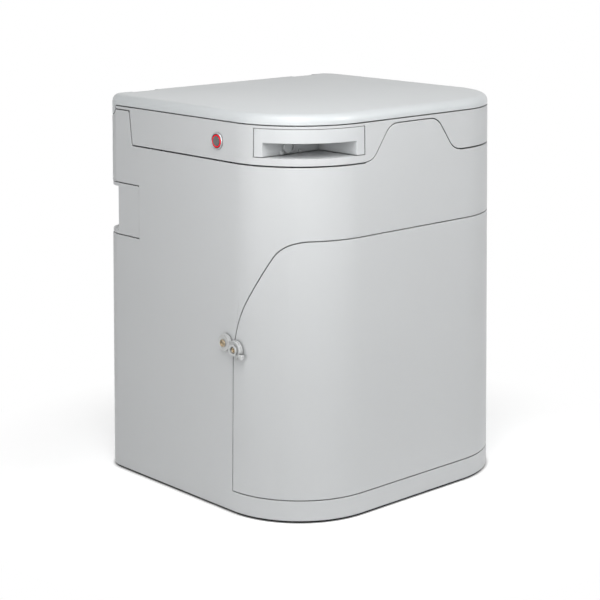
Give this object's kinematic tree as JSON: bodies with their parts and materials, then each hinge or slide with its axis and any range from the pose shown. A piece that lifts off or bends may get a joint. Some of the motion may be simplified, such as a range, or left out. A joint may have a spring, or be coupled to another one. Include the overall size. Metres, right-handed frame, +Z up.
{
  "type": "composting toilet",
  "caption": "Boxy composting toilet with rounded front, hinged lid, tilting top with separating bowl and pull-out trap door, wrap-round latched front door, stirred bin and vent.",
  "frame": {"origin": "middle of the bounding box at floor level", "axes": "+Z up, the front with the door faces -Y, the pull handle is on the -X side"},
  "size_m": [0.4088, 0.3738, 0.483],
  "materials": {
    "shell": "satin pale grey moulded plastic",
    "lid_plastic": "satin white moulded plastic",
    "dark_plastic": "dark moulded plastic",
    "seal_rubber": "soft black rubber",
    "bin_plastic": "mid grey plastic",
    "bottle_plastic": "translucent white plastic",
    "bush_plastic": "natural white nylon",
    "latch_plastic": "pale plastic",
    "steel": "brushed stainless steel",
    "brass": "nickel-plated brass",
    "button_ring": "red",
    "button_cap": "dark grey",
    "circuit": "green circuit board"
  },
  "bodies": {
    "base": {"base_shell": "shell", "floor_pan": "shell", "door_frame": "shell", "corner_cups": "shell", "foot_ring": "seal_rubber", "bottle_tray": "shell", "bin_cradle": "shell", "bay_divider": "shell", "service_partition": "shell", "partition_screws": "steel", "hinge_rod": "steel", "rod_end_cap": "seal_rubber", "door_hinge_pins": "steel", "latch_screw": "brass", "rim_pads": "seal_rubber", "vent_blank_plate": "shell", "vent_port": "shell", "insect_screen": "steel", "fan_frame": "dark_plastic", "drive_bracket": "steel", "drive_gearbox": "dark_plastic", "drive_motor": "steel", "control_box": "dark_plastic", "circuit_board": "circuit", "power_inlet": "dark_plastic", "wiring": "dark_plastic", "level_sensor": "dark_plastic", "solids_bin": "bin_plastic", "bin_seal": "seal_rubber", "shaft_bushes": "bush_plastic", "urine_bottle": "bottle_plastic", "bottle_handle": "bottle_plastic"},
    "upper_housing": {"upper_housing": "shell", "seat_ring": "lid_plastic", "diverter_bowl": "lid_plastic", "gate_rails": "shell", "rod_guide": "dark_plastic", "button_body": "steel", "button_ring": "button_ring", "rail_screws": "steel"},
    "gate": {"pull_handle": "lid_plastic", "pull_rod": "steel", "gate_plate": "bin_plastic", "gate_bracket": "steel", "handle_screw": "steel"},
    "lid": {"lid": "lid_plastic", "lid_bumpers": "seal_rubber"},
    "front_door": {"front_door": "shell", "latch_stud": "latch_plastic"},
    "latch": {"latch_hook": "latch_plastic"},
    "button": {"button_cap": "button_cap"},
    "agitator": {"agitator_shaft": "steel", "agitator_paddles": "steel"},
    "motor_output": {"motor_coupling": "dark_plastic"},
    "fan_rotor": {"fan_rotor": "dark_plastic"}
  },
  "joints": [
    {"name": "module_tilt", "type": "hinge", "parent": "base", "child": "upper_housing", "pos_m": [0, 0.16441, 0.47], "axis": [-1, 0, 0], "range_deg": [0, 70]},
    {"name": "lid_hinge", "type": "hinge", "parent": "upper_housing", "child": "lid", "pos_m": [0, 0.16441, 0.47], "axis": [-1, 0, 0], "range_deg": [0, 105]},
    {"name": "gate_pull", "type": "slide", "parent": "upper_housing", "child": "gate", "axis": [0, -1, 0], "range_m": [0, 0.092]},
    {"name": "button_press", "type": "slide", "parent": "upper_housing", "child": "button", "axis": [1, 0, 0], "range_m": [0, 0.002], "stiffness_N_per_m": 600},
    {"name": "door_swing", "type": "hinge", "parent": "base", "child": "front_door", "pos_m": [0.20093, -0.0766, 0.185], "axis": [0, 0, 1], "range_deg": [0, 110]},
    {"name": "latch_turn", "type": "hinge", "parent": "base", "child": "latch", "pos_m": [-0.19988, -0.0649, 0.2095], "axis": [-1, 0, 0], "range_deg": [0, 100]},
    {"name": "agitator_spin", "type": "hinge", "parent": "base", "child": "agitator", "pos_m": [0, 0.035, 0.092], "axis": [1, 0, 0], "continuous": true},
    {"name": "motor_spin", "type": "hinge", "parent": "base", "child": "motor_output", "pos_m": [0.15, 0.035, 0.092], "axis": [1, 0, 0], "continuous": true},
    {"name": "fan_spin", "type": "hinge", "parent": "base", "child": "fan_rotor", "pos_m": [0.17403, 0.124, 0.3415], "axis": [1, 0, 0], "continuous": true}
  ],
  "couplings": [
    {"joint": "motor_spin", "follows": "agitator_spin", "ratio": 1}
  ]
}
